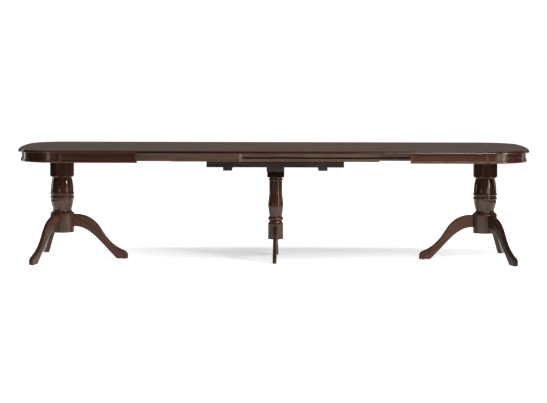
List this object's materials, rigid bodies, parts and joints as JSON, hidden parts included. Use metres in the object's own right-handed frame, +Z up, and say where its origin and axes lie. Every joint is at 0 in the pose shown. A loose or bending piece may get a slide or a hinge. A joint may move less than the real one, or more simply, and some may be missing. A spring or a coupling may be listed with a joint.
{
  "type": "extending double pedestal dining table",
  "caption": "Extending dining table with rounded ends, turned pedestals on scroll legs, lift-out leaves on wooden slide runners and a slim centre leg, in dark stained wood.",
  "frame": {"origin": "on the floor under the middle of the drawn-out table, at the bottom centre of its box", "axes": "+X along the table towards the right half, +Y towards its back, +Z up"},
  "size_m": [3.3778, 1.01, 0.7565],
  "materials": {
    "top_wood": "dark stain under satin lacquer",
    "stained_wood": "dark reddish-brown stain under semi-gloss lacquer",
    "runner_wood": "stained, dull",
    "dark_frame_wood": "dark stain, dull",
    "bare_end_grain": "sealed end grain",
    "hidden_softwood": "planed, bare",
    "pin_beech": "turned, bare",
    "screw_steel": "zinc plated",
    "glide_plastic": "moulded"
  },
  "bodies": {
    "centre_frame": {"front_middle_runner": "runner_wood", "back_middle_runner": "runner_wood", "front_carrier": "dark_frame_wood", "back_carrier": "dark_frame_wood", "left_batten": "dark_frame_wood", "right_batten": "dark_frame_wood", "centre_beam": "dark_frame_wood", "carrier_screws": "screw_steel", "cross_screws": "screw_steel", "centre_column": "stained_wood", "centre_front_foot": "stained_wood", "centre_back_foot": "stained_wood", "centre_foot_glides": "glide_plastic"},
    "left_half": {"left_top": "top_wood", "left_front_apron": "stained_wood", "left_back_apron": "stained_wood", "left_end_apron": "stained_wood", "left_apron_end_strips": "stained_wood", "left_front_bead": "stained_wood", "left_back_bead": "stained_wood", "left_end_bead": "stained_wood", "left_apron_blocks": "hidden_softwood", "left_mounting_board": "hidden_softwood", "left_pedestal_screws": "screw_steel", "left_column": "stained_wood", "left_inner_leg": "stained_wood", "left_front_leg": "stained_wood", "left_back_leg": "stained_wood", "left_foot_glides": "glide_plastic", "left_leaf_pins": "pin_beech", "left_front_runner": "runner_wood", "left_back_runner": "runner_wood", "left_runner_screws": "screw_steel", "left_runner_end_blocks": "bare_end_grain"},
    "right_half": {"right_top": "top_wood", "right_front_apron": "stained_wood", "right_back_apron": "stained_wood", "right_end_apron": "stained_wood", "right_apron_end_strips": "stained_wood", "right_front_bead": "stained_wood", "right_back_bead": "stained_wood", "right_end_bead": "stained_wood", "right_apron_blocks": "hidden_softwood", "right_mounting_board": "hidden_softwood", "right_pedestal_screws": "screw_steel", "right_column": "stained_wood", "right_inner_leg": "stained_wood", "right_front_leg": "stained_wood", "right_back_leg": "stained_wood", "right_foot_glides": "glide_plastic", "right_leaf_pins": "pin_beech", "right_front_runner": "runner_wood", "right_back_runner": "runner_wood", "right_runner_screws": "screw_steel"},
    "middle_leaf_board": {"middle_leaf": "top_wood", "middle_leaf_pins": "pin_beech"},
    "left_leaf_board": {"left_leaf": "top_wood"},
    "right_leaf_board": {"right_leaf": "top_wood"}
  },
  "joints": [
    {"name": "left_half_slide", "type": "slide", "parent": "centre_frame", "child": "left_half", "axis": [-1, 0, 0], "range_m": [0, 0.082]},
    {"name": "right_half_slide", "type": "slide", "parent": "centre_frame", "child": "right_half", "axis": [1, 0, 0], "range_m": [0, 0.083]},
    {"name": "middle_leaf_lift", "type": "slide", "parent": "centre_frame", "child": "middle_leaf_board", "axis": [0, 0, 1], "range_m": [0, 0.3]},
    {"name": "left_leaf_lift", "type": "slide", "parent": "middle_leaf_board", "child": "left_leaf_board", "axis": [0, 0, 1], "range_m": [0, 0.3]},
    {"name": "right_leaf_lift", "type": "slide", "parent": "middle_leaf_board", "child": "right_leaf_board", "axis": [0, 0, 1], "range_m": [0, 0.3]}
  ]
}
